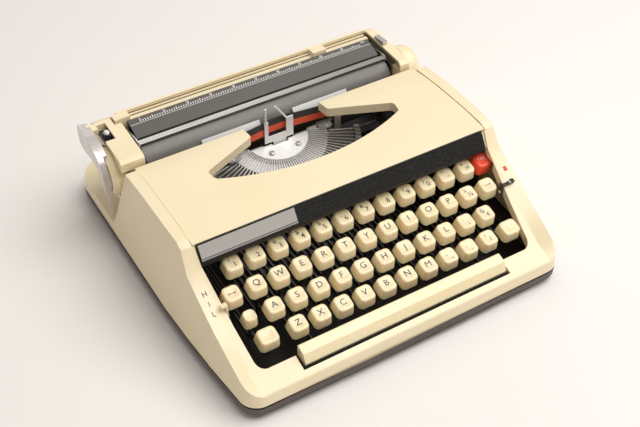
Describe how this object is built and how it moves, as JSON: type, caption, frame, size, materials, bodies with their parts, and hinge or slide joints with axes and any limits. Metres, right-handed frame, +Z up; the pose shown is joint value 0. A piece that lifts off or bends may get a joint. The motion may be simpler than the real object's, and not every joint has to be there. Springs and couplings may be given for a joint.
{
  "type": "portable typewriter",
  "caption": "Low portable manual typewriter with a cream casing, sloping cheeks, a lift-off ribbon cover, a carriage with a rubber platen and a bank of sculpted keys.",
  "frame": {"origin": "on the table under the middle of the body", "axes": "+X to the typist's right, +Y to the rear, +Z up"},
  "size_m": [0.3004, 0.304, 0.099],
  "materials": {
    "casing": "smooth cream plastic, semi-gloss",
    "tray": "dark textured plastic",
    "foot": "black rubber",
    "screw_steel": "zinc plated steel",
    "trim": "black grained plastic",
    "plate": "satin aluminium, bare",
    "key_cream": "moulded cream plastic with printed characters",
    "key_red": "moulded red plastic",
    "lever_steel": "plated steel sheet",
    "frame_steel": "plated steel sheet",
    "type_steel": "bright nickel plate",
    "plate_white": "bright plated plate",
    "scale_white": "satin metal with printed marks",
    "ribbon_ink": "inked fabric, black above and red below",
    "spool_black": "black plastic",
    "platen_rubber": "smooth hard rubber",
    "rail_steel": "ground steel",
    "button_white": "white plastic disc with a brown ring",
    "table_dark": "dark satin paint with a printed scale",
    "lever_grey": "satin grey metal",
    "selector_black": "black plastic"
  },
  "bodies": {
    "base": {"base_tray": "tray", "rubber_feet": "foot", "base_screws": "screw_steel", "body_shell": "casing", "trim_panel": "trim", "name_plate": "plate", "key_lever_shaft": "rail_steel", "chassis": "frame_steel", "card_holder": "scale_white", "ribbon_vibrator": "type_steel", "ribbon": "ribbon_ink", "carriage_rail": "rail_steel"},
    "cover": {"ribbon_cover": "casing"},
    "number_row": {"number_row_keys": "key_cream", "number_row_levers": "lever_steel"},
    "upper_row": {"upper_row_keys": "key_cream", "upper_row_levers": "lever_steel"},
    "home_row": {"home_row_keys": "key_cream", "home_row_levers": "lever_steel"},
    "lower_row": {"lower_row_keys": "key_cream", "lower_row_levers": "lever_steel"},
    "center": {"center_key": "key_cream", "center_key_lever": "lever_steel"},
    "tab": {"tab_key": "key_red", "tab_lever": "lever_steel"},
    "backspace": {"backspace_key": "key_cream", "backspace_lever": "lever_steel"},
    "margin_release": {"margin_release_key": "key_cream", "margin_release_lever": "lever_steel"},
    "shift_lock": {"shift_lock_key": "key_cream", "shift_lock_lever": "lever_steel"},
    "shift": {"shift_keys": "key_cream", "shift_levers": "lever_steel"},
    "space": {"space_bar": "key_cream", "space_bar_arms": "lever_steel"},
    "basket": {"type_segment": "type_steel", "segment_plate": "plate_white", "typebars": "type_steel"},
    "middle_typebar": {"center_typebar": "type_steel"},
    "spool_left": {"left_spool": "spool_black"},
    "spool_right": {"right_spool": "spool_black"},
    "drum": {"mainspring_drum": "frame_steel"},
    "carriage": {"carriage_frame": "frame_steel", "left_end_cap": "casing", "right_end_cap": "casing", "paper_table": "table_dark", "margin_rack": "rail_steel", "carriage_back_cover": "casing"},
    "roller": {"platen": "platen_rubber", "platen_axle": "rail_steel", "platen_knobs": "casing"},
    "button": {"knob_button": "button_white"},
    "bail": {"paper_bail": "scale_white"},
    "stop_left": {"left_margin_stop": "casing"},
    "stop_right": {"right_margin_stop": "casing"},
    "line_selector": {"line_space_selector": "button_white"},
    "release": {"carriage_release_lever": "type_steel"},
    "return": {"return_lever": "lever_grey"},
    "touch": {"touch_lever": "casing"},
    "colour": {"ribbon_selector": "selector_black"}
  },
  "joints": [
    {"name": "number_row_press", "type": "hinge", "parent": "base", "child": "number_row", "pos_m": [0, 0.058, 0.024], "axis": [1, 0, 0], "range_deg": [0, 3.2], "stiffness_Nm_per_rad": 8, "springref_deg": -2.86},
    {"name": "upper_row_press", "type": "hinge", "parent": "base", "child": "upper_row", "pos_m": [0, 0.058, 0.024], "axis": [1, 0, 0], "range_deg": [0, 3.2], "stiffness_Nm_per_rad": 8, "springref_deg": -2.86},
    {"name": "home_row_press", "type": "hinge", "parent": "base", "child": "home_row", "pos_m": [0, 0.058, 0.024], "axis": [1, 0, 0], "range_deg": [0, 3.2], "stiffness_Nm_per_rad": 8, "springref_deg": -2.86},
    {"name": "lower_row_press", "type": "hinge", "parent": "base", "child": "lower_row", "pos_m": [0, 0.058, 0.024], "axis": [1, 0, 0], "range_deg": [0, 3.2], "stiffness_Nm_per_rad": 8, "springref_deg": -2.86},
    {"name": "center_press", "type": "hinge", "parent": "base", "child": "center", "pos_m": [0, 0.058, 0.024], "axis": [1, 0, 0], "range_deg": [0, 3.2], "stiffness_Nm_per_rad": 1, "springref_deg": -3.44},
    {"name": "tab_press", "type": "hinge", "parent": "base", "child": "tab", "pos_m": [0, 0.058, 0.024], "axis": [1, 0, 0], "range_deg": [0, 3.2], "stiffness_Nm_per_rad": 1, "springref_deg": -3.44},
    {"name": "backspace_press", "type": "hinge", "parent": "base", "child": "backspace", "pos_m": [0, 0.058, 0.024], "axis": [1, 0, 0], "range_deg": [0, 3.2], "stiffness_Nm_per_rad": 1, "springref_deg": -3.44},
    {"name": "margin_release_press", "type": "hinge", "parent": "base", "child": "margin_release", "pos_m": [0, 0.058, 0.024], "axis": [1, 0, 0], "range_deg": [0, 3.2], "stiffness_Nm_per_rad": 1, "springref_deg": -3.44},
    {"name": "shift_lock_press", "type": "hinge", "parent": "base", "child": "shift_lock", "pos_m": [0, 0.058, 0.024], "axis": [1, 0, 0], "range_deg": [0, 3.2], "stiffness_Nm_per_rad": 1, "springref_deg": -3.44},
    {"name": "shift_press", "type": "hinge", "parent": "base", "child": "shift", "pos_m": [0, 0.058, 0.024], "axis": [1, 0, 0], "range_deg": [0, 3.2], "stiffness_Nm_per_rad": 6, "springref_deg": -4.58},
    {"name": "space_press", "type": "hinge", "parent": "base", "child": "space", "pos_m": [0, 0.058, 0.024], "axis": [1, 0, 0], "range_deg": [0, 2], "stiffness_Nm_per_rad": 6, "springref_deg": -2.86},
    {"name": "cover_lift", "type": "slide", "parent": "base", "child": "cover", "axis": [0, 0, 1], "range_m": [0, 0.06]},
    {"name": "basket_shift", "type": "slide", "parent": "base", "child": "basket", "axis": [0, 0, -1], "range_m": [0, 0.005]},
    {"name": "typebar_swing", "type": "hinge", "parent": "basket", "child": "middle_typebar", "pos_m": [0, 0.03195, 0.04922], "axis": [-1, 0, 0], "range_deg": [0, 126]},
    {"name": "left_spool_turn", "type": "hinge", "parent": "base", "child": "spool_left", "pos_m": [-0.099, 0.024, 0.074], "axis": [0, 0, 1], "continuous": true},
    {"name": "right_spool_turn", "type": "hinge", "parent": "base", "child": "spool_right", "pos_m": [0.099, 0.024, 0.074], "axis": [0, 0, 1], "continuous": true},
    {"name": "carriage_travel", "type": "slide", "parent": "base", "child": "carriage", "axis": [1, 0, 0], "range_m": [-0.1, 0.1]},
    {"name": "drum_turn", "type": "hinge", "parent": "base", "child": "drum", "pos_m": [-0.09, 0.112, 0.014], "axis": [0, 0, 1], "range_deg": [-360, 360]},
    {"name": "platen_turn", "type": "hinge", "parent": "carriage", "child": "roller", "pos_m": [0, 0.077, 0.07], "axis": [1, 0, 0], "continuous": true},
    {"name": "button_press", "type": "slide", "parent": "roller", "child": "button", "axis": [1, 0, 0], "range_m": [0, 0.0016], "stiffness_N_per_m": 300, "springref_m": -0.001},
    {"name": "bail_lift", "type": "hinge", "parent": "carriage", "child": "bail", "pos_m": [0, 0.097, 0.086], "axis": [-1, 0, 0], "range_deg": [0, 60]},
    {"name": "left_margin_slide", "type": "slide", "parent": "carriage", "child": "stop_left", "axis": [1, 0, 0], "range_m": [0, 0.09]},
    {"name": "right_margin_slide", "type": "slide", "parent": "carriage", "child": "stop_right", "axis": [1, 0, 0], "range_m": [-0.09, 0.04]},
    {"name": "line_space_slide", "type": "slide", "parent": "carriage", "child": "line_selector", "axis": [0, 1, 0], "range_m": [-0.006, 0.006]},
    {"name": "release_swing", "type": "hinge", "parent": "carriage", "child": "release", "pos_m": [0.1217, 0.09, 0.096], "axis": [0, 0, 1], "range_deg": [-12, 12]},
    {"name": "return_swing", "type": "hinge", "parent": "carriage", "child": "return", "pos_m": [-0.145, 0.104, 0.097], "axis": [0, 0, -1], "range_deg": [0, 40], "stiffness_Nm_per_rad": 0.3, "springref_deg": -17.19},
    {"name": "touch_set", "type": "hinge", "parent": "base", "child": "touch", "pos_m": [-0.1242, -0.089, 0.049], "axis": [1, 0, 0], "range_deg": [0, 14]},
    {"name": "colour_set", "type": "hinge", "parent": "base", "child": "colour", "pos_m": [0.1242, -0.085, 0.0505], "axis": [1, 0, 0], "range_deg": [0, 14]}
  ],
  "couplings": [
    {"joint": "basket_shift", "follows": "shift_press", "m_per_rad": 0.089516},
    {"joint": "typebar_swing", "follows": "center_press", "ratio": 39.371},
    {"joint": "drum_turn", "follows": "carriage_travel", "rad_per_m": 62.5},
    {"joint": "right_spool_turn", "follows": "left_spool_turn", "ratio": 1}
  ]
}
